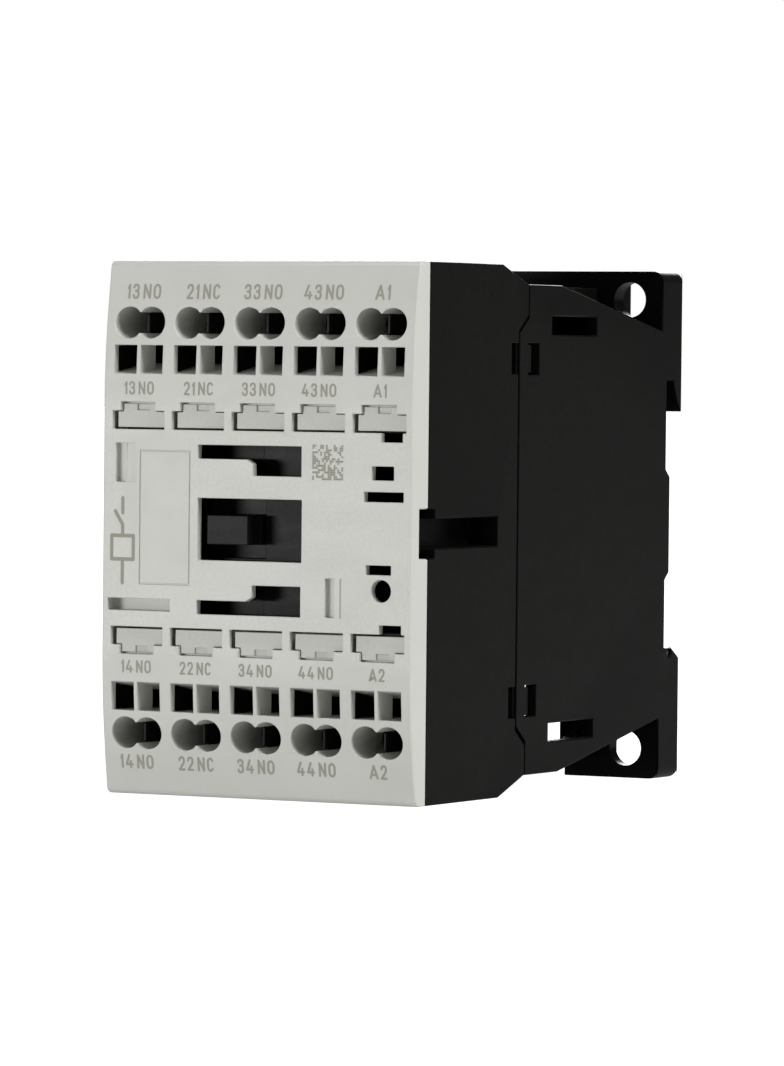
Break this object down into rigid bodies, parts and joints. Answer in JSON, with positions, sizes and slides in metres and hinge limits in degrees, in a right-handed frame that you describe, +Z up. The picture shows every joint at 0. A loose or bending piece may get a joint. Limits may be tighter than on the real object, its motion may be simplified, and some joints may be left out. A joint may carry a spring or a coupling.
{
  "type": "industrial control relay",
  "caption": "Rail or screw mounted control relay: push-in terminals front top and bottom, spring-returned contact carrier seen in a front window, coil and laminated magnet in a dark base.",
  "frame": {"origin": "centre of the four fixing holes in the rear mounting plane, the plane that touches the panel", "axes": "+X right seen from the front, +Y from the front face back into the panel, +Z up as mounted on a wall"},
  "size_m": [0.045, 0.075, 0.068],
  "materials": {
    "cover_grey": "light warm grey, fine matt grain",
    "tile_grey": "light warm grey, fine matt grain",
    "housing_black": "near-black, fine spark-eroded grain",
    "carrier_black": "dark grey, smooth",
    "bobbin_black": "dark grey glass-filled plastic",
    "laminated_iron": "stacked sheet edges",
    "steel_pin": "ground",
    "copper": "plain copper",
    "rubber_buffer": "matt",
    "enamelled_wire": "enamelled copper wire",
    "contact_brass": "copper alloy, tin and silver plated ends",
    "marking": "laser-etched brown-grey marks, flush",
    "spring_steel": "drawn wire and rolled strip"
  },
  "bodies": {
    "housing": {"front_cover": "cover_grey", "marker_tile_13": "tile_grey", "marker_tile_21": "tile_grey", "marker_tile_33": "tile_grey", "marker_tile_43": "tile_grey", "marker_tile_a1": "tile_grey", "marker_tile_14": "tile_grey", "marker_tile_22": "tile_grey", "marker_tile_34": "tile_grey", "marker_tile_44": "tile_grey", "marker_tile_a2": "tile_grey", "contact_housing": "housing_black", "base_housing": "housing_black", "magnet_core": "laminated_iron", "shading_ring_upper": "copper", "shading_ring_lower": "copper", "core_buffer": "rubber_buffer", "coil_bobbin": "bobbin_black", "coil_winding": "enamelled_wire", "coil_blade_a1": "contact_brass", "coil_blade_a2": "contact_brass", "return_spring_left": "spring_steel", "return_spring_right": "spring_steel", "terminal_bar_13": "contact_brass", "terminal_bar_21": "contact_brass", "terminal_bar_33": "contact_brass", "terminal_bar_43": "contact_brass", "terminal_bar_a1": "contact_brass", "terminal_bar_14": "contact_brass", "terminal_bar_22": "contact_brass", "terminal_bar_34": "contact_brass", "terminal_bar_44": "contact_brass", "terminal_bar_a2": "contact_brass", "clamp_springs_13": "spring_steel", "clamp_springs_21": "spring_steel", "clamp_springs_33": "spring_steel", "clamp_springs_43": "spring_steel", "clamp_springs_a1": "spring_steel", "clamp_springs_14": "spring_steel", "clamp_springs_22": "spring_steel", "clamp_springs_34": "spring_steel", "clamp_springs_44": "spring_steel", "clamp_springs_a2": "spring_steel", "rail_spring": "spring_steel"},
    "carrier": {"contact_carrier": "carrier_black", "armature": "laminated_iron", "armature_pin": "steel_pin", "contact_spring_13_14": "spring_steel", "contact_spring_21_22": "spring_steel", "contact_spring_33_34": "spring_steel", "contact_spring_43_44": "spring_steel"},
    "bridge_body_13_14": {"bridge_13_14": "contact_brass"},
    "bridge_body_21_22": {"bridge_21_22": "contact_brass"},
    "bridge_body_33_34": {"bridge_33_34": "contact_brass"},
    "bridge_body_43_44": {"bridge_43_44": "contact_brass"}
  },
  "joints": [
    {"name": "carrier_slide", "type": "slide", "parent": "housing", "child": "carrier", "axis": [0, 1, 0], "range_m": [0, 0.004], "stiffness_N_per_m": 500, "springref_m": -0.004, "deforming": ["return_spring_left", "return_spring_right"]},
    {"name": "bridge_13_14_lift", "type": "slide", "parent": "carrier", "child": "bridge_body_13_14", "axis": [0, 1, 0], "range_m": [-0.0008, 0], "deforming": ["contact_spring_13_14"]},
    {"name": "bridge_21_22_lift", "type": "slide", "parent": "carrier", "child": "bridge_body_21_22", "axis": [0, 1, 0], "range_m": [-0.0008, 0], "deforming": ["contact_spring_21_22"]},
    {"name": "bridge_33_34_lift", "type": "slide", "parent": "carrier", "child": "bridge_body_33_34", "axis": [0, 1, 0], "range_m": [-0.0008, 0], "deforming": ["contact_spring_33_34"]},
    {"name": "bridge_43_44_lift", "type": "slide", "parent": "carrier", "child": "bridge_body_43_44", "axis": [0, 1, 0], "range_m": [-0.0008, 0], "deforming": ["contact_spring_43_44"]}
  ],
  "couplings": [
    {"joint": "bridge_13_14_lift", "follows": "carrier_slide", "ratio": -0.2},
    {"joint": "bridge_21_22_lift", "follows": "carrier_slide", "ratio": -0.2},
    {"joint": "bridge_33_34_lift", "follows": "carrier_slide", "ratio": -0.2},
    {"joint": "bridge_43_44_lift", "follows": "carrier_slide", "ratio": -0.2}
  ]
}
